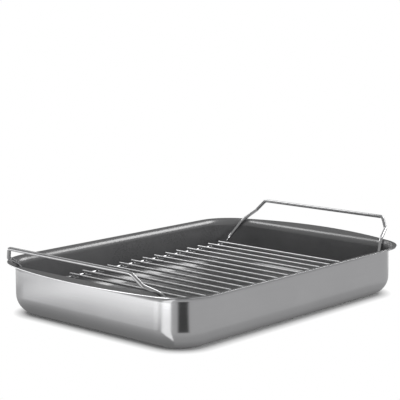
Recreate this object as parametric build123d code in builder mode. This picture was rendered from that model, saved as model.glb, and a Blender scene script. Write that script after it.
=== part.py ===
from build123d import *
from math import cos, radians, tan
import os

# Roasting pan with a lift-out wire rack. Millimetres, +Z up. The origin is on the table under the
# middle of the pan. X runs along the pan, from one grip to the other, and Y runs across it, along
# the cross wires of the rack.

os.makedirs("parts", exist_ok=True)

# Pan: the drawn steel sheet
pan_length = 360.0
pan_width = 259.0
pan_height = 55.0
sheet = 1.0
wall_corner_radius = 38.0
base_radius = 21.0
rim_bend_radius = 6.5

# Pan: its rim, narrow along the sides and widening to a bowed shelf at each end. It slopes up
# a little towards its edge, and the pan's height is measured at the edge of a long side.
rim_overhang_side = 8.6
rim_overhang_end = 22.6
end_bow_rise = 28.0
rim_slope = 4.0

# Pan: the non-stick coating on the inside and on the top of the rim
coat = 0.3

# Rack: the grid, hung this far below the rim and inside the walls
rack_drop = 20.8
rack_end_gap = 59.0
rack_side_gap = 43.5
cross_wire_count = 14
cross_wire_diameter = 3.0
cross_wire_overhang = 3.0
cross_wire_end_chamfer = 0.4
frame_wire_diameter = 4.0
rail_end_margin = 2.0
weld_set_down = 0.5

# Rack: the handle wires, each a bar with two bent legs that hang the rack on the rim
leg_start_run = 6.0
foot_end_inset = 20.0
foot_side_inset = 19.0
foot_drop = 2.0
seat_clearance = 0.9
seat_slant = 38.0
seat_corner_angle = 14.4
kink_reach = 18.1
kink_rise = 9.7
kink_inset = 5.7
grip_reach = 24.7
grip_rise = 21.5
grip_inset = 14.7
splay_bend_radius = 12.0
foot_bend_radius = 12.0
seat_bend_radius = 25.0
kink_bend_radius = 5.0
grip_bend_radius = 5.0

# One overrun for every cut that has to pass a face
overrun = 5.0

# Places that follow from the sizes above. The wall top is the level where the underside of the
# rim would meet the outside of the walls in a sharp corner.
lining_inset = sheet + coat
rim_top = pan_height + coat
slope_rise = tan(radians(rim_slope))
layer_rise = tan(radians((90 - rim_slope) / 2))
wall_top = pan_height - rim_overhang_side * slope_rise - sheet / cos(radians(rim_slope))
flare_reach = 2 * (rim_overhang_end + overrun)
frame_wire_radius = frame_wire_diameter / 2
cross_wire_radius = cross_wire_diameter / 2
rail_height = rim_top - rack_drop
rail_end_x = pan_length / 2 - rack_end_gap
rail_y = pan_width / 2 - rack_side_gap
outer_wire_x = rail_end_x - rail_end_margin
cross_wire_pitch = 2 * outer_wire_x / (cross_wire_count - 1)
cross_wire_length = 2 * (rail_y + cross_wire_overhang)
cross_wire_height = rail_height + frame_wire_radius + cross_wire_radius - weld_set_down

# The plan of the rim: straight sides, bowed ends, corners that keep the sides' overhang
rim_corner_radius = wall_corner_radius + rim_overhang_side
half_rim_width = pan_width / 2 + rim_overhang_side
bow_apex_x = pan_length / 2 + rim_overhang_end
bow_corner_x = bow_apex_x - end_bow_rise
with BuildSketch() as rim_plan:
    with BuildLine():
        Line((-bow_corner_x, -half_rim_width), (bow_corner_x, -half_rim_width))
        ThreePointArc(
            (bow_corner_x, -half_rim_width), (bow_apex_x, 0), (bow_corner_x, half_rim_width)
        )
        Line((bow_corner_x, half_rim_width), (-bow_corner_x, half_rim_width))
        ThreePointArc(
            (-bow_corner_x, half_rim_width), (-bow_apex_x, 0), (-bow_corner_x, -half_rim_width)
        )
    make_face()
    fillet(rim_plan.vertices(), rim_corner_radius)


def drawn_form(inset):
    """Make a solid pan: the walls' outline, drawn in by inset, flaring out to the sloping rim.

    The outside of the steel, the inside of the steel and the inside of the coating are all this
    one form, at growing insets. Between two of them lies a layer of even thickness. The slope
    runs on well past the rim's edge, so that the top of one form clears the slope of the next.
    """
    length = pan_length - 2 * inset
    width = pan_width - 2 * inset
    corner_radius = wall_corner_radius - inset
    level = wall_top + inset * layer_rise
    with BuildPart() as flare:
        with BuildSketch(Plane.XY.offset(level)):
            RectangleRounded(length, width, corner_radius)
        with BuildSketch(Plane.XY.offset(level + flare_reach * slope_rise)):
            RectangleRounded(
                length + 2 * flare_reach, width + 2 * flare_reach, corner_radius + flare_reach
            )
        loft(ruled=True)
        with BuildSketch(Plane.XY.offset(level)):
            add(rim_plan.sketch)
        extrude(amount=overrun, mode=Mode.INTERSECT)
    with BuildPart() as form:
        with BuildSketch(Plane.XY.offset(inset)):
            RectangleRounded(length, width, corner_radius)
        extrude(amount=level - inset)
        add(flare.part)
        fillet(form.edges().group_by(Axis.Z)[2], rim_bend_radius + inset)
        fillet(form.edges().group_by(Axis.Z)[0], base_radius - inset)
    return form.part


steel_hollow = drawn_form(sheet)

# The pan itself: one sheet, drawn, with its rim turned out
with BuildPart() as pan_shell:
    add(drawn_form(0))
    add(steel_hollow, mode=Mode.SUBTRACT)
pan_shell.part.label = "pan_shell"
export_step(pan_shell.part, "parts/pan_shell.step")

# The dark coating: it lines the inside and covers the top of the rim, out to the bare edge
with BuildPart() as nonstick_lining:
    add(steel_hollow)
    add(drawn_form(lining_inset), mode=Mode.SUBTRACT)
nonstick_lining.part.label = "nonstick_lining"
export_step(nonstick_lining.part, "parts/nonstick_lining.step")

# Cross wires: straight, laid over the rails, with their cut ends deburred
cross_wire_places = [
    (number * cross_wire_pitch - outer_wire_x, 0, cross_wire_height)
    for number in range(cross_wire_count)
]
for number, place in enumerate(cross_wire_places, start=1):
    wire_start = Vector(place) - Vector(0, cross_wire_length / 2, 0)
    with BuildPart() as cross_wire:
        with BuildSketch(Plane(origin=wire_start, z_dir=(0, 1, 0))):
            Circle(cross_wire_radius)
        extrude(amount=cross_wire_length)
        chamfer(cross_wire.edges().filter_by(GeomType.CIRCLE), cross_wire_end_chamfer)
    cross_wire.part.label = f"cross_wire_{number:02d}"
    export_step(cross_wire.part, f"parts/cross_wire_{number:02d}.step")

# Rails: one under each end of the cross wires, dented a little where each wire is welded down
for name, side in (("front_rail", -1), ("rear_rail", 1)):
    rail_start = Vector(-rail_end_x, side * rail_y, rail_height)
    with BuildPart() as rail:
        with BuildSketch(Plane(origin=rail_start, z_dir=(1, 0, 0))):
            Circle(frame_wire_radius)
        extrude(amount=2 * rail_end_x)
        for wire_x, wire_y, wire_z in cross_wire_places:
            dent_start = Vector(wire_x, side * rail_y - frame_wire_radius - overrun, wire_z)
            with BuildSketch(Plane(origin=dent_start, z_dir=(0, 1, 0))):
                Circle(cross_wire_radius)
            extrude(amount=frame_wire_diameter + 2 * overrun, mode=Mode.SUBTRACT)
    rail.part.label = name
    export_step(rail.part, f"parts/{name}.step")

# Handles: each wire runs on from the rails, splays to the pan's corners, climbs over the rim,
# kinks and rises to the bar that a hand takes. A leg rests on the rounded top edge of a corner:
# the clearance is measured to the corner point of its bend, and the bend itself cuts in closer.
top_edge_radius = rim_bend_radius + lining_inset
seat_distance = top_edge_radius + frame_wire_radius + seat_clearance
seat_step = Vector(0, 0, seat_distance).rotate(Axis.Y, -seat_slant)
corner_centre = Vector(pan_length / 2 - wall_corner_radius, pan_width / 2 - wall_corner_radius, 0)
seat_from_corner = Vector(wall_corner_radius + rim_bend_radius + seat_step.X, 0, 0)
seat = corner_centre + seat_from_corner.rotate(Axis.Z, seat_corner_angle)
seat_z = wall_top - rim_bend_radius * layer_rise + seat_step.Z
bend_x = rail_end_x + leg_start_run
foot_x = pan_length / 2 - foot_end_inset
foot_y = pan_width / 2 - foot_side_inset
leg_points = [
    (rail_end_x, rail_y, rail_height),
    (bend_x, rail_y, rail_height),
    (foot_x, foot_y, rail_height - foot_drop),
    (seat.X, seat.Y, seat_z),
    (seat.X + kink_reach, seat.Y - kink_inset, seat_z + kink_rise),
    (seat.X + grip_reach, seat.Y - grip_inset, seat_z + grip_rise),
]
leg_radii = [
    splay_bend_radius,
    foot_bend_radius,
    seat_bend_radius,
    kink_bend_radius,
    grip_bend_radius,
]
for name, end in (("left_handle", -1), ("right_handle", 1)):
    rear_leg = [(end * x, y, z) for x, y, z in leg_points]
    front_leg = [(end * x, -y, z) for x, y, z in reversed(leg_points)]
    with BuildPart() as handle:
        with BuildLine() as handle_route:
            FilletPolyline(*rear_leg, *front_leg, radius=leg_radii + leg_radii[::-1])
        with BuildSketch(Plane(origin=rear_leg[0], z_dir=(end, 0, 0))):
            Circle(frame_wire_radius)
        sweep(path=handle_route.wire())
    handle.part.label = name
    export_step(handle.part, f"parts/{name}.step")
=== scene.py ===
import math

import bmesh
import bpy
from mathutils import Matrix, Vector


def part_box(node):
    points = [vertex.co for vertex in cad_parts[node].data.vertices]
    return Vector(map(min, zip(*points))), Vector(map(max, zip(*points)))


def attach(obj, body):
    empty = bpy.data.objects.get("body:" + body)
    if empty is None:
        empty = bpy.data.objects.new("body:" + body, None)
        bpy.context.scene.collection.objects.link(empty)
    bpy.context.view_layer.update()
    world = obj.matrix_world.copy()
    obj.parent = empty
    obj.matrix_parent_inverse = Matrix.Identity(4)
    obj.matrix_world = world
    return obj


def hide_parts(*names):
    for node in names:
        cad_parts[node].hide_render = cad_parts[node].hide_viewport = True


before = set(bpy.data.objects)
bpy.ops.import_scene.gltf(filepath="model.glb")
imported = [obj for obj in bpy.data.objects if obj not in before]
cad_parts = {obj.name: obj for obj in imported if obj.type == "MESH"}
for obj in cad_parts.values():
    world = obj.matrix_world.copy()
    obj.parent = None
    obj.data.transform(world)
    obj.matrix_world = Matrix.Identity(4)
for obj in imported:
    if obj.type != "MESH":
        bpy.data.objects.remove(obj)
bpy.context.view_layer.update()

# The looks of a steel roasting pan with a lift-out wire rack. Metres, in the frame of the packed
# model: +X along the pan, +Y across it, +Z up, and the table at z = 0.

# The pan's sheet and its coating
sheet = 0.001
coat = 0.0003
wall_corner_radius = 0.038
base_radius = 0.021
rim_bend_radius = 0.0065
rim_overhang_side = 0.0086
rim_overhang_end = 0.0226
end_bow_rise = 0.028
rim_slope = math.radians(4)
cut_edge_round = 0.00015
coat_edge_round = 0.0001
coat_edge_inset = 0.0003

# How finely the pan's rounds are divided
corner_steps = 18
base_steps = 10
rim_bend_steps = 12
bow_steps = 18
cut_edge_segments = 2

# An edge sharper than this is rounded, and a face that looks up by more than this is a top
sharp_angle = math.radians(60)
least_upward = 0.5

# How much the larger faces lead the even shading, of 100
even_shading_weight = 60

# The rack's wires
cross_wire_count = 14
cross_wire_radius = 0.0015
frame_wire_radius = 0.002
wire_end_round = 0.0005
wire_end_segments = 3
wire_sides = 20
bend_step = math.radians(5)
least_bend_steps = 3

# The welds: a low bead at each crossing, and a thin collar where two frame wires meet end to end
crossing_bead = (0.0020, 0.0019, 0.0008)
crossing_bead_lift = 0.00165
end_collar = (0.0009, 0.00225, 0.00225)
weld_sides = 16

# The route of a handle wire. Its foot is placed from the rail and the walls, its seat and its kink
# from the bar's corner, and the bar's length by where the seat rests on the pan's corner.
leg_start_run = 0.006
foot_end_inset = 0.020
foot_side_inset = 0.019
foot_drop = 0.002
seat_clearance = 0.0009
seat_slant = math.radians(38)
seat_corner_angle = math.radians(14.4)
seat_reach = 0.0247
seat_rise = 0.0215
seat_inset = 0.0147
kink_reach = 0.0066
kink_rise = 0.0118
kink_inset = 0.0090
leg_bend_radii = (0.012, 0.012, 0.025, 0.005, 0.005)

# The finishes: colours from dark to light, roughness from smooth to rough, relief in metres
steel_colours = ((0.625, 0.625, 0.635), (0.675, 0.675, 0.685))
steel_roughness = (0.15, 0.21)
steel_relief = 0.000006
steel_relief_strength = 0.5
coating_colours = ((0.090, 0.090, 0.0925), (0.120, 0.120, 0.1235))
coating_ior = 2.25
coating_roughness = (0.26, 0.31)
coating_relief = 0.00005
coating_relief_strength = 0.35
chrome_colours = ((0.53, 0.53, 0.54), (0.61, 0.61, 0.615))
chrome_roughness = (0.09, 0.14)
chrome_relief = 0.00006
chrome_relief_strength = 0.3

# How many grains of each pattern there are to the metre, along each axis
wall_line_grains = (14.0, 14.0, 2600.0)
base_line_grains = (14.0, 2600.0, 14.0)
steel_cloud_grains = (26.0, 26.0, 26.0)
fleck_grains = (1500.0, 1500.0, 1500.0)
coating_cloud_grains = (20.0, 20.0, 20.0)
peel_grains = (420.0, 420.0, 420.0)
wave_grains = (160.0, 160.0, 160.0)
pore_grains = (2200.0, 2200.0, 2200.0)
pore_shift = (3.0, 1.0, 2.0)

# Where most of a pattern's values lie, and how the patterns are mixed
pattern_range = (0.3, 0.7)
steel_cloud_range = (0.2, 0.8)
steel_cloud_shares = (0.25, 0.75)
coating_cloud_shares = (0.3, 0.7)
coating_tone_range = (0.35, 0.75)

# How far a face's normal points down where the base's lines take over from the walls'
base_facing_range = (-0.7, -0.9)

# Places read from the frame
pan_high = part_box("pan_shell")[1]
rail_low, rail_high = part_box("rear_rail")
grip_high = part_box("right_handle")[1]
slope_rise = math.tan(rim_slope)
layer_rise = math.tan(math.radians(45) - rim_slope / 2)
wall_top = pan_high.z - rim_overhang_end * slope_rise - sheet / math.cos(rim_slope)
wall_x = pan_high.x - rim_overhang_end
wall_y = pan_high.y - rim_overhang_side
corner_x = wall_x - wall_corner_radius
corner_y = wall_y - wall_corner_radius
rail_end_x = rail_high.x
rail_y = (rail_low.y + rail_high.y) / 2
rail_z = (rail_low.z + rail_high.z) / 2


def new_material(name):
    """Start a material, and return it with its node tree and its shader."""
    material = bpy.data.materials.new(name)
    material.use_nodes = True
    return material, material.node_tree, material.node_tree.nodes["Principled BSDF"]


def grain(tree, stretch, detail=3.0, roughness=0.55, shift=(0.0, 0.0, 0.0)):
    """Noise on the piece's own coordinates, with so many grains to the metre along each axis."""
    coordinates = tree.nodes.new("ShaderNodeTexCoord")
    mapping = tree.nodes.new("ShaderNodeMapping")
    mapping.inputs["Scale"].default_value = stretch
    mapping.inputs["Location"].default_value = shift
    noise = tree.nodes.new("ShaderNodeTexNoise")
    noise.inputs["Scale"].default_value = 1.0
    noise.inputs["Detail"].default_value = detail
    noise.inputs["Roughness"].default_value = roughness
    tree.links.new(coordinates.outputs["Object"], mapping.inputs["Vector"])
    tree.links.new(mapping.outputs["Vector"], noise.inputs["Vector"])
    return noise.outputs["Fac"]


def spread(tree, value, low, high, to_low, to_high):
    """Map a value that runs from low to high on to another range."""
    mapped = tree.nodes.new("ShaderNodeMapRange")
    mapped.inputs["From Min"].default_value = low
    mapped.inputs["From Max"].default_value = high
    mapped.inputs["To Min"].default_value = to_low
    mapped.inputs["To Max"].default_value = to_high
    tree.links.new(value, mapped.inputs["Value"])
    return mapped.outputs["Result"]


def feed(tree, socket, value):
    """Give a socket a plain value, or link it to another socket."""
    if isinstance(value, bpy.types.NodeSocket):
        tree.links.new(value, socket)
    else:
        socket.default_value = value


def blend_values(tree, share, first, second):
    """Mix two values or sockets, from the first at share 0 to the second at share 1."""
    mixed = tree.nodes.new("ShaderNodeMix")
    mixed.data_type = "FLOAT"
    feed(tree, mixed.inputs["Factor"], share)
    feed(tree, mixed.inputs["A"], first)
    feed(tree, mixed.inputs["B"], second)
    return mixed.outputs["Result"]


def tint(tree, value, dark, light):
    """Colour a value from 0 to 1 between two colours."""
    ramp = tree.nodes.new("ShaderNodeValToRGB")
    ramp.color_ramp.elements[0].color = (*dark, 1.0)
    ramp.color_ramp.elements[1].color = (*light, 1.0)
    tree.links.new(value, ramp.inputs["Fac"])
    return ramp.outputs["Color"]


def relief(tree, shader, height, depth, strength):
    """Raise the surface by a height from 0 to 1, over a depth in metres."""
    bump = tree.nodes.new("ShaderNodeBump")
    bump.inputs["Strength"].default_value = strength
    bump.inputs["Distance"].default_value = depth
    tree.links.new(height, bump.inputs["Height"])
    tree.links.new(bump.outputs["Normal"], shader.inputs["Normal"])


def polished_steel():
    """Satin stainless steel, with its polishing lines round the walls and along the base."""
    material, tree, shader = new_material("satin_stainless_steel")
    shader.inputs["Metallic"].default_value = 1.0
    wall_lines = grain(tree, wall_line_grains, detail=2.0)
    base_lines = grain(tree, base_line_grains, detail=2.0)
    geometry = tree.nodes.new("ShaderNodeNewGeometry")
    parts = tree.nodes.new("ShaderNodeSeparateXYZ")
    tree.links.new(geometry.outputs["Normal"], parts.inputs["Vector"])
    facing_down = spread(tree, parts.outputs["Z"], *base_facing_range, 0.0, 1.0)
    lines = blend_values(tree, facing_down, wall_lines, base_lines)
    clouds = grain(tree, steel_cloud_grains, detail=4.0)
    cloud_share = spread(tree, clouds, *steel_cloud_range, *steel_cloud_shares)
    tone = blend_values(tree, cloud_share, lines, clouds)
    colour = tint(tree, spread(tree, tone, *pattern_range, 0.0, 1.0), *steel_colours)
    tree.links.new(colour, shader.inputs["Base Color"])
    tree.links.new(spread(tree, tone, *pattern_range, *steel_roughness), shader.inputs["Roughness"])
    relief(tree, shader, lines, steel_relief, steel_relief_strength)
    return material


def dark_coating():
    """Dark grey non-stick coating: fine orange peel, and a faint lighter fleck."""
    material, tree, shader = new_material("dark_nonstick_coating")
    shader.inputs["Metallic"].default_value = 0.0
    shader.inputs["IOR"].default_value = coating_ior
    fleck = grain(tree, fleck_grains, detail=1.0, roughness=0.4)
    clouds = grain(tree, coating_cloud_grains, detail=4.0)
    cloud_share = spread(tree, clouds, *pattern_range, *coating_cloud_shares)
    tone = blend_values(tree, cloud_share, fleck, clouds)
    colour = tint(tree, spread(tree, tone, *coating_tone_range, 0.0, 1.0), *coating_colours)
    tree.links.new(colour, shader.inputs["Base Color"])
    tree.links.new(spread(tree, tone, *pattern_range, *coating_roughness), shader.inputs["Roughness"])
    peel = grain(tree, peel_grains, detail=2.0, roughness=0.5)
    relief(tree, shader, peel, coating_relief, coating_relief_strength)
    return material


def bright_chrome():
    """Chromed steel wire, a little uneven, as drawn and plated wire is."""
    material, tree, shader = new_material("bright_chromed_wire")
    shader.inputs["Metallic"].default_value = 1.0
    waves = grain(tree, wave_grains, detail=3.0)
    pores = grain(tree, pore_grains, detail=1.0, shift=pore_shift)
    colour = tint(tree, spread(tree, waves, *pattern_range, 0.0, 1.0), *chrome_colours)
    tree.links.new(colour, shader.inputs["Base Color"])
    tree.links.new(spread(tree, pores, *pattern_range, *chrome_roughness), shader.inputs["Roughness"])
    relief(tree, shader, waves, chrome_relief, chrome_relief_strength)
    return material


def add_piece(name, form, material, body, stands_for=()):
    """Keep a finished form as a piece of the object, riding on its body."""
    for face in form.faces:
        face.smooth = True
    mesh = bpy.data.meshes.new(name)
    form.to_mesh(mesh)
    form.free()
    mesh.materials.append(material)
    piece = bpy.data.objects.new(name, mesh)
    bpy.context.scene.collection.objects.link(piece)
    even = piece.modifiers.new("even_shading", "WEIGHTED_NORMAL")
    even.weight = even_shading_weight
    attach(piece, body)
    if stands_for:
        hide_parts(*stands_for)


def outline_normal(place):
    """The direction, in plan, that a point of the walls' outline faces."""
    from_corner = Vector((abs(place.x) - corner_x, abs(place.y) - corner_y))
    facing = Vector((max(from_corner.x, 0.0), max(from_corner.y, 0.0), 0.0)).normalized()
    return Vector((math.copysign(facing.x, place.x), math.copysign(facing.y, place.y), 0.0))


def rim_edge(place, reached, edge_inset):
    """Where a point of the rim that has reached so far out of the walls meets the cut edge."""
    bow_radius = (end_bow_rise**2 + pan_high.y**2) / (2 * end_bow_rise)
    rim_corner_radius = wall_corner_radius + rim_overhang_side
    bow_tangent = math.asin(corner_y / (bow_radius - rim_corner_radius))
    facing = outline_normal(place)
    if abs(facing.y) > math.sin(bow_tangent):
        further = rim_overhang_side - reached
    else:
        bow_centre = Vector((math.copysign(1.0, place.x) * (pan_high.x - bow_radius), 0.0))
        from_centre = place.xy - bow_centre
        along = from_centre.dot(facing.xy)
        further = math.sqrt(along**2 - from_centre.length_squared + bow_radius**2) - along
    further -= edge_inset
    return place + facing * further + Vector((0, 0, further * slope_rise))


def draw_on(form, ring, new_place):
    """Draw the open edge of a form on, each of its points to a new place."""
    drawn = bmesh.ops.extrude_edge_only(form, edges=ring)["geom"]
    for item in drawn:
        if isinstance(item, bmesh.types.BMVert):
            item.co = new_place(item.co)
    return [item for item in drawn if isinstance(item, bmesh.types.BMEdge) and item.is_boundary]


def drawn_surface(inset, edge_inset):
    """The surface that lies inset inside the steel's outside: base, walls and turned-out rim."""
    surface = bmesh.new()
    bend_start = wall_top - rim_bend_radius * layer_rise
    bmesh.ops.create_cube(surface, size=1.0)
    size = (2 * (wall_x - inset), 2 * (wall_y - inset), bend_start - inset)
    bmesh.ops.scale(surface, vec=size, verts=surface.verts)
    bmesh.ops.translate(surface, vec=(0, 0, (bend_start + inset) / 2), verts=surface.verts)
    upright = [edge for edge in surface.edges if abs(edge.verts[0].co.z - edge.verts[1].co.z) > sheet]
    bmesh.ops.bevel(
        surface, geom=upright, offset=wall_corner_radius - inset, offset_type="OFFSET",
        segments=corner_steps, profile=0.5, affect="EDGES", material=-1,
    )
    top = [face for face in surface.faces if face.normal.z > least_upward]
    bmesh.ops.delete(surface, geom=top, context="FACES_ONLY")
    base_edges = [edge for edge in surface.edges if max(vert.co.z for vert in edge.verts) < inset + sheet]
    bmesh.ops.bevel(
        surface, geom=base_edges, offset=base_radius - inset, offset_type="OFFSET",
        segments=base_steps, profile=0.5, affect="EDGES", material=-1,
    )
    for step in range(1, bow_steps):
        cut_y = corner_y * (2 * step / bow_steps - 1)
        geometry = surface.verts[:] + surface.edges[:] + surface.faces[:]
        bmesh.ops.bisect_plane(surface, geom=geometry, plane_co=(0, cut_y, 0), plane_no=(0, 1, 0))
    ring = [edge for edge in surface.edges if edge.is_boundary]
    bend_radius = rim_bend_radius + inset
    reached = -inset
    height = bend_start
    for step in range(1, rim_bend_steps + 1):
        turned = (math.radians(90) - rim_slope) * step / rim_bend_steps
        further = rim_bend_radius - bend_radius * math.cos(turned) - reached
        higher = bend_start + bend_radius * math.sin(turned) - height
        ring = draw_on(
            surface, ring, lambda place: place + outline_normal(place) * further + Vector((0, 0, higher)),
        )
        reached += further
        height += higher
    draw_on(surface, ring, lambda place: rim_edge(place, reached, edge_inset))
    return surface


def thicken(surface, thickness, edge_round):
    """Give a surface its thickness inwards and round its cut edge."""
    bmesh.ops.recalc_face_normals(surface, faces=surface.faces)
    floor = min(surface.faces, key=lambda face: face.calc_center_median().z)
    if floor.normal.z > 0:
        bmesh.ops.reverse_faces(surface, faces=surface.faces)
    bmesh.ops.solidify(surface, geom=surface.faces[:], thickness=thickness)
    surface.normal_update()
    sharp = [edge for edge in surface.edges if edge.calc_face_angle(0.0) > sharp_angle]
    bmesh.ops.bevel(
        surface, geom=sharp, offset=edge_round, offset_type="OFFSET",
        segments=cut_edge_segments, profile=0.5, affect="EDGES", material=-1,
    )
    return surface


def straight_wire(start, end, radius, end_round):
    """A straight length of wire with deburred ends."""
    wire = bmesh.new()
    along = end - start
    stand = along.to_track_quat("Z", "Y").to_matrix().to_4x4()
    bmesh.ops.create_cone(
        wire, cap_ends=True, cap_tris=False, segments=wire_sides, radius1=radius, radius2=radius,
        depth=along.length, matrix=Matrix.Translation((start + end) / 2) @ stand,
    )
    rims = [edge for edge in wire.edges if edge.calc_face_angle(0.0) > sharp_angle]
    bmesh.ops.bevel(
        wire, geom=rims, offset=end_round, offset_type="OFFSET",
        segments=wire_end_segments, profile=0.5, affect="EDGES", material=-1,
    )
    return wire


def bent_wire(corners, bend_radii, radius):
    """A wire bent through its corners, each bend made round a former of its own radius."""
    wire = bmesh.new()
    place = corners[0]
    heading = (corners[1] - corners[0]).normalized()
    stand = heading.to_track_quat("Z", "Y").to_matrix().to_4x4()
    bmesh.ops.create_circle(
        wire, cap_ends=False, radius=radius, segments=wire_sides, matrix=Matrix.Translation(place) @ stand,
    )
    ring = wire.edges[:]
    for corner, onward, bend_radius in zip(corners[1:-1], corners[2:], bend_radii):
        heading = (corner - place).normalized()
        leaving = (onward - corner).normalized()
        turn = heading.angle(leaving)
        setback = bend_radius * math.tan(turn / 2)
        bend_start = corner - heading * setback
        ring = draw_on(wire, ring, lambda point: point + bend_start - place)
        towards_centre = (leaving - heading * heading.dot(leaving)).normalized()
        spun = bmesh.ops.spin(
            wire, geom=ring, cent=bend_start + towards_centre * bend_radius,
            axis=heading.cross(leaving).normalized(), angle=turn,
            steps=max(least_bend_steps, round(turn / bend_step)),
            use_merge=False, use_duplicate=False,
        )["geom_last"]
        ring = [item for item in spun if isinstance(item, bmesh.types.BMEdge)]
        place = corner + leaving * setback
    draw_on(wire, ring, lambda point: point + corners[-1] - place)
    bmesh.ops.holes_fill(wire, edges=[edge for edge in wire.edges if edge.is_boundary], sides=0)
    bmesh.ops.recalc_face_normals(wire, faces=wire.faces)
    return wire


def weld_bead(welds, place, radii):
    """A rounded bead of weld metal."""
    stand = Matrix.Translation(place) @ Matrix.Diagonal((*radii, 1.0))
    bmesh.ops.create_uvsphere(
        welds, u_segments=weld_sides, v_segments=weld_sides // 2, radius=1.0, matrix=stand,
    )


def handle_corners(end):
    """The corners of a handle wire, from the rear rail round the bar to the front rail."""
    grip = Vector((grip_high.x - frame_wire_radius, 0, grip_high.z - frame_wire_radius))
    grip.y = grip_bar_half_length()
    rear_leg = [
        Vector((rail_end_x, rail_y, rail_z)),
        Vector((rail_end_x + leg_start_run, rail_y, rail_z)),
        Vector((wall_x - foot_end_inset, wall_y - foot_side_inset, rail_z - foot_drop)),
        grip + Vector((-seat_reach, seat_inset, -seat_rise)),
        grip + Vector((-kink_reach, kink_inset, -kink_rise)),
        grip,
    ]
    rear_leg = [Vector((end * corner.x, corner.y, corner.z)) for corner in rear_leg]
    front_leg = [Vector((corner.x, -corner.y, corner.z)) for corner in reversed(rear_leg)]
    return rear_leg + front_leg


def grip_bar_half_length():
    """Half the length of a handle's bar, to the corners of its bends."""
    seat_distance = rim_bend_radius + sheet + coat + frame_wire_radius + seat_clearance
    seat_out = wall_corner_radius + rim_bend_radius - seat_distance * math.sin(seat_slant)
    return corner_y + seat_out * math.sin(seat_corner_angle) - seat_inset


steel = polished_steel()
coating = dark_coating()
chrome = bright_chrome()


def build_pan():
    """The drawn steel pan, and the coating inside it and on its rim."""
    shell = thicken(drawn_surface(0.0, 0.0), sheet, cut_edge_round)
    add_piece("drawn_steel_pan", shell, steel, "pan", ["pan_shell"])
    skin = thicken(drawn_surface(sheet, coat_edge_inset), coat, coat_edge_round)
    add_piece("pan_coating", skin, coating, "pan", ["nonstick_lining"])


def build_rack():
    """The wire rack: cross wires, the two frame wires under them, and the two handles."""
    for number in range(1, cross_wire_count + 1):
        node = f"cross_wire_{number:02d}"
        low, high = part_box(node)
        middle = (low + high) / 2
        start = Vector((middle.x, low.y, middle.z))
        end = Vector((middle.x, high.y, middle.z))
        wire = straight_wire(start, end, cross_wire_radius, wire_end_round)
        add_piece(f"rack_wire_{number:02d}", wire, chrome, "rack", [node])
    for side, node in (("front", "front_rail"), ("rear", "rear_rail")):
        low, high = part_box(node)
        middle = (low + high) / 2
        start = Vector((low.x, middle.y, rail_z))
        end = Vector((high.x, middle.y, rail_z))
        wire = straight_wire(start, end, frame_wire_radius, wire_end_round)
        add_piece(f"{side}_frame_wire", wire, chrome, "rack", [node])
        welds = bmesh.new()
        for place in (start, end):
            weld_bead(welds, place, end_collar)
        for number in range(1, cross_wire_count + 1):
            low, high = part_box(f"cross_wire_{number:02d}")
            crossing = Vector(((low.x + high.x) / 2, start.y, rail_z + crossing_bead_lift))
            weld_bead(welds, crossing, crossing_bead)
        add_piece(f"{side}_frame_welds", welds, chrome, "rack")
    for side, end in (("left", -1), ("right", 1)):
        radii = leg_bend_radii + leg_bend_radii[::-1]
        wire = bent_wire(handle_corners(end), radii, frame_wire_radius)
        add_piece(f"{side}_handle_wire", wire, chrome, "rack", [f"{side}_handle"])


build_pan()
build_rack()

# The photograph's camera
camera_place = Vector((-1.034755, -0.922220, 0.334234))
camera_azimuth = math.radians(-47.93626)
camera_elevation = math.radians(9.1188)
camera_lens = 118.013
camera_sensor = 36.0
nearest_shown = 0.05
furthest_shown = 50.0


def set_camera():
    """A camera at the photograph's place, with its field of view."""
    lens = bpy.data.cameras.new("photo_camera")
    lens.lens = camera_lens
    lens.sensor_width = camera_sensor
    lens.clip_start = nearest_shown
    lens.clip_end = furthest_shown
    camera = bpy.data.objects.new("photo_camera", lens)
    bpy.context.scene.collection.objects.link(camera)
    back = Vector((
        math.sin(camera_azimuth) * math.cos(camera_elevation),
        -math.cos(camera_azimuth) * math.cos(camera_elevation),
        math.sin(camera_elevation),
    ))
    camera.location = camera_place
    camera.rotation_euler = (-back).to_track_quat("-Z", "Y").to_euler()
    bpy.context.scene.camera = camera


set_camera()

# The soft light all round, as a share of white, and how much stronger it is towards its lean
ambient_level = 0.47
ambient_lean = 0.40
lean_direction = Vector((-0.60, -0.64, 0.48))

# The room as the metal and the coating mirror it, and where one level runs over into the next
behind = Vector((0.742, 0.670, 0.0))
mirror_behind = 0.25
mirror_sides = 0.34
mirror_overhead = 0.36
mirror_behind_range = (0.35, 0.75)
mirror_overhead_range = (0.45, 0.75)

# The soft boxes: one on the right, one behind, and one in front that fills in the shadows
lamp_length = 0.60
lamp_height = 0.46
open_beam = math.radians(180)
right_lamp_place = Vector((0.76, -0.17, 0.74))
right_lamp_aim = Vector((0.0, 0.0, 0.0))
right_lamp_radiance = 3.9
back_lamp_place = Vector((0.29, 0.73, 0.86))
back_lamp_aim = Vector((0.30, -0.03, 0.05))
back_lamp_radiance = 4.1
back_lamp_beam = math.radians(48)
fill_lamp_place = Vector((0.15, -1.35, 0.42))
fill_lamp_aim = Vector((0.0, 0.0, 0.05))
fill_lamp_radiance = 6.8

# The floor, and how far from the pan's outline its shadow starts to fade and is gone
floor_side = 2.4
floor_colour = 0.8
shadow_start = -0.011
shadow_end = 0.0038

# How the floor's glow, seen only by glossy rays, paints a reflection into the steel: painted light that
# fades behind the pan, and painted shade, grey in front with a dark gap
back_fade = (0.152, 0.225)
back_level = 0.5
front_grey = 0.49
gap_grey = 0.06
gap_distance = (0.075, 0.095)
band_start_blur = 0.008
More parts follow.
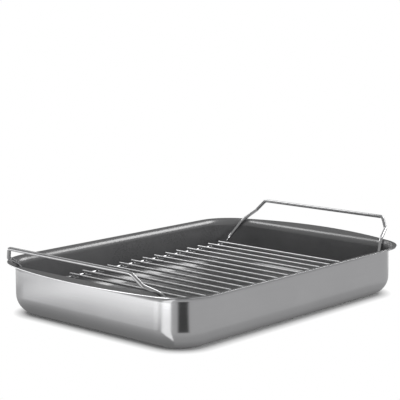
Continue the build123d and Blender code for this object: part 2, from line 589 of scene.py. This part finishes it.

# The levels of its painted pale part, with its painted shade close to the pan, and the shares of its grey
# part are set against the distance from the pan's outline, in metres. The ends of the grey part, the
# painted dark gap, the painted bright band's levels and the painted dips beside the band are set against
# the bearing about the near corner's centre, in degrees.
pale_levels = (
    (-0.02, 0.14), (0.0, 0.26), (0.02, 0.38), (0.044, 0.49), (0.06, 0.60), (0.08, 0.74),
    (0.094, 0.89), (0.11, 1.03), (0.124, 1.14), (0.14, 1.28), (0.20, 1.35), (0.24, 1.8),
    (0.30, 3.2), (0.45, 4.0),
)
grey_shares = (
    (-0.02, 0.20), (-0.012, 0.40), (-0.004, 0.62), (0.0, 0.72), (0.02, 0.85), (0.028, 0.95),
    (0.072, 1.0), (0.20, 1.0),
)
front_start_shares = ((-180, 0), (-163, 0), (-161.5, 1), (180, 1))
front_end_shares = ((-180, 1), (-5.4, 1), (10.8, 0), (180, 0))
gap_shares = ((-180, 0), (-146.5, 0), (-141, 1), (-119.5, 1), (-113.8, 0), (180, 0))
corner_band_levels = ((-180, 1.15), (-162.3, 1.15), (-160.3, 0), (170, 0), (174, 1.15), (180, 1.15))
corner_dips = ((-180, 0), (158, 0), (167.8, 0.40), (177, 0), (180, 0))

# How many degrees the corner's pattern turns at each distance from the outline, and how far from
# the outline its bright band starts at each bearing
corner_turns = ((0.0, 12), (0.01, 9.5), (0.033, 5), (0.08, 2), (0.16, 0), (0.20, 0))
band_starts = ((-180, 0.034), (-168, 0.012), (-152, -0.003), (150, -0.003), (170, 0.040), (180, 0.036))


def calculate(tree, operation, *values):
    """One sum on values or sockets."""
    sum_node = tree.nodes.new("ShaderNodeMath")
    sum_node.operation = operation
    for socket, value in zip(sum_node.inputs, values):
        feed(tree, socket, value)
    return sum_node.outputs["Value"]


def value_curve(tree, value, points):
    """Straight stretches between given points: what a value stands for, along its range."""
    low = points[0][0]
    high = points[-1][0]
    curve = tree.nodes.new("ShaderNodeFloatCurve")
    line = curve.mapping.curves[0]
    curve.mapping.use_clip = False
    line.points[0].location = (0.0, points[0][1])
    line.points[1].location = (1.0, points[-1][1])
    for place, level in points[1:-1]:
        line.points.new((place - low) / (high - low), level)
    for point in line.points:
        point.handle_type = "VECTOR"
    curve.mapping.update()
    tree.links.new(spread(tree, value, low, high, 0.0, 1.0), curve.inputs["Value"])
    return curve.outputs["Value"]


def towards(tree, direction, heading):
    """How squarely a direction points along a heading, from -1 to 1."""
    product = tree.nodes.new("ShaderNodeVectorMath")
    product.operation = "DOT_PRODUCT"
    product.inputs[1].default_value = heading.normalized()
    tree.links.new(direction, product.inputs[0])
    return product.outputs["Value"]


def studio_world():
    """Soft light all round, stronger from the camera's side, and plain white to the camera.

    What the metal and the coating mirror has levels of its own, the lowest behind the object.
    """
    world = bpy.data.worlds.new("studio")
    bpy.context.scene.world = world
    world.use_nodes = True
    tree = world.node_tree
    tree.nodes.clear()
    path = tree.nodes.new("ShaderNodeLightPath")
    shown = calculate(tree, "MAXIMUM", path.outputs["Is Camera Ray"], path.outputs["Is Transmission Ray"])
    direction = tree.nodes.new("ShaderNodeTexCoord").outputs["Generated"]
    parts = tree.nodes.new("ShaderNodeSeparateXYZ")
    tree.links.new(direction, parts.inputs["Vector"])
    low = towards(tree, direction, behind)
    low = spread(tree, low, *mirror_behind_range, mirror_sides, mirror_behind)
    high = spread(tree, parts.outputs["Z"], *mirror_overhead_range, 0.0, 1.0)
    mirrored = blend_values(tree, high, low, mirror_overhead)
    mirrored = calculate(tree, "MULTIPLY", path.outputs["Is Glossy Ray"], mirrored)
    weakest = ambient_level - ambient_lean
    strongest = ambient_level + ambient_lean
    soft = spread(tree, towards(tree, direction, lean_direction), -1.0, 1.0, weakest, strongest)
    rest = calculate(tree, "SUBTRACT", 1.0, calculate(tree, "ADD", shown, path.outputs["Is Glossy Ray"]))
    level = calculate(tree, "ADD", shown, mirrored)
    level = calculate(tree, "ADD", level, calculate(tree, "MULTIPLY", rest, soft))
    background = tree.nodes.new("ShaderNodeBackground")
    background.inputs["Color"].default_value = (1.0, 1.0, 1.0, 1.0)
    tree.links.new(level, background.inputs["Strength"])
    output = tree.nodes.new("ShaderNodeOutputWorld")
    tree.links.new(background.outputs["Background"], output.inputs["Surface"])


def soft_box(name, place, aim, radiance, beam, mirrored):
    """A broad soft box, its long side level, that keeps its light to a beam.

    A mirrored box shows as a highlight on the metal and the coating, and adds no other light.
    One that isn't mirrored only lights them, and shows as no highlight.
    """
    light = bpy.data.lights.new(name, "AREA")
    light.shape = "RECTANGLE"
    light.size = lamp_length
    light.size_y = lamp_height
    light.spread = beam
    grid_gain = 1.0
    if beam < open_beam:
        grid_gain = math.tan(beam / 2) / (math.tan(beam / 2) - beam / 2)
    light.energy = radiance / grid_gain * math.pi * lamp_length * lamp_height
    lamp = bpy.data.objects.new(name, light)
    bpy.context.scene.collection.objects.link(lamp)
    outward = (place - aim).normalized()
    along = Vector((0, 0, 1)).cross(outward).normalized()
    turn = Matrix((along, outward.cross(along), outward)).transposed()
    lamp.matrix_world = Matrix.Translation(place) @ turn.to_4x4()
    lamp.visible_camera = False
    lamp.visible_diffuse = not mirrored
    lamp.visible_glossy = mirrored


def length_of(tree, first, second):
    """The length of a plan vector from its two parts."""
    squares = calculate(tree, "MULTIPLY", first, first)
    return calculate(tree, "SQRT", calculate(tree, "MULTIPLY_ADD", second, second, squares))


def painted_floor_reflection(tree, x, y, outline_distance):
    """The floor's glow for glossy rays, a painted reflection for the steel: pale, with painted shade close
    to the pan, grey in front.

    A painted narrow dark gap stands before the near corner, and a painted bright band beside it.
    """
    along = calculate(tree, "ADD", x, corner_x)
    across = calculate(tree, "ADD", y, corner_y)
    bearing = calculate(tree, "DEGREES", calculate(tree, "ARCTAN2", across, along))
    # Painted shade: the glow dims close to the pan's outline, and a painted bright band and painted dark
    # dips are laid over it
    pale = value_curve(tree, outline_distance, pale_levels)
    turned = calculate(tree, "SUBTRACT", bearing, value_curve(tree, outline_distance, corner_turns))
    past_start = calculate(tree, "SUBTRACT", outline_distance, value_curve(tree, bearing, band_starts))
    clear_of_pan = spread(tree, past_start, 0.0, band_start_blur, 0.0, 1.0)
    band = calculate(tree, "MULTIPLY", value_curve(tree, turned, corner_band_levels), clear_of_pan)
    pale = calculate(tree, "MAXIMUM", pale, band)
    dip = calculate(tree, "MULTIPLY", value_curve(tree, turned, corner_dips), clear_of_pan)
    pale = calculate(tree, "MULTIPLY", pale, calculate(tree, "SUBTRACT", 1.0, dip))
    pale = calculate(tree, "MULTIPLY", pale, spread(tree, y, *back_fade, 1.0, back_level))
    past_gap_start = spread(tree, length_of(tree, along, across), *gap_distance, 0.0, 1.0)
    gap = calculate(tree, "MULTIPLY", value_curve(tree, bearing, gap_shares), past_gap_start)
    grey = spread(tree, gap, 0.0, 1.0, front_grey, gap_grey)
    grey = calculate(tree, "MULTIPLY", grey, value_curve(tree, outline_distance, grey_shares))
    front = value_curve(tree, turned, front_start_shares)
    front = calculate(tree, "MULTIPLY", front, value_curve(tree, bearing, front_end_shares))
    return blend_values(tree, front, pale, grey)


def floor_material():
    """A pale floor that is white in the open and keeps the pan's shadow; to glossy rays it glows with a
    painted reflection, painted light and shade for the steel to show.
    """
    material = bpy.data.materials.new("pale_floor")
    material.use_nodes = True
    tree = material.node_tree
    tree.nodes.clear()
    path = tree.nodes.new("ShaderNodeLightPath")
    coordinates = tree.nodes.new("ShaderNodeTexCoord")
    parts = tree.nodes.new("ShaderNodeSeparateXYZ")
    tree.links.new(coordinates.outputs["Object"], parts.inputs["Vector"])
    x = parts.outputs["X"]
    y = parts.outputs["Y"]
    past_corner_x = calculate(tree, "SUBTRACT", calculate(tree, "ABSOLUTE", x), corner_x)
    past_corner_y = calculate(tree, "SUBTRACT", calculate(tree, "ABSOLUTE", y), corner_y)
    past_corner_x = calculate(tree, "MAXIMUM", past_corner_x, 0.0)
    past_corner_y = calculate(tree, "MAXIMUM", past_corner_y, 0.0)
    from_centre = length_of(tree, past_corner_x, past_corner_y)
    outline_distance = calculate(tree, "SUBTRACT", from_centre, wall_corner_radius)
    # A glow painted on the floor that only glossy rays see: painted light and shade for the steel to
    # reflect
    painted_reflection_glow = tree.nodes.new("ShaderNodeEmission")
    tree.links.new(painted_floor_reflection(tree, x, y, outline_distance), painted_reflection_glow.inputs["Strength"])
    lit = tree.nodes.new("ShaderNodeBsdfDiffuse")
    lit.inputs["Color"].default_value = (floor_colour, floor_colour, floor_colour, 1.0)
    white = tree.nodes.new("ShaderNodeEmission")
    white.inputs["Strength"].default_value = 1.0
    open_share = spread(tree, outline_distance, shadow_start, shadow_end, 0.0, 1.0)
    open_share = calculate(tree, "MULTIPLY", open_share, path.outputs["Is Camera Ray"])
    shown = tree.nodes.new("ShaderNodeMixShader")
    tree.links.new(open_share, shown.inputs["Fac"])
    tree.links.new(lit.outputs["BSDF"], shown.inputs[1])
    tree.links.new(white.outputs["Emission"], shown.inputs[2])
    mix = tree.nodes.new("ShaderNodeMixShader")
    tree.links.new(path.outputs["Is Glossy Ray"], mix.inputs["Fac"])
    tree.links.new(shown.outputs["Shader"], mix.inputs[1])
    tree.links.new(painted_reflection_glow.outputs["Emission"], mix.inputs[2])
    output = tree.nodes.new("ShaderNodeOutputMaterial")
    tree.links.new(mix.outputs["Shader"], output.inputs["Surface"])
    return material


def studio_floor():
    """The floor that the pan stands on."""
    plane = bmesh.new()
    bmesh.ops.create_grid(plane, x_segments=1, y_segments=1, size=floor_side / 2)
    mesh = bpy.data.meshes.new("floor")
    plane.to_mesh(mesh)
    plane.free()
    mesh.materials.append(floor_material())
    floor = bpy.data.objects.new("floor", mesh)
    bpy.context.scene.collection.objects.link(floor)


studio_world()
soft_box("right_soft_box", right_lamp_place, right_lamp_aim, right_lamp_radiance, open_beam, mirrored=True)
soft_box("back_soft_box", back_lamp_place, back_lamp_aim, back_lamp_radiance, back_lamp_beam, mirrored=True)
soft_box("fill_soft_box", fill_lamp_place, fill_lamp_aim, fill_lamp_radiance, open_beam, mirrored=False)
studio_floor()
bpy.context.scene.view_settings.view_transform = "Standard"
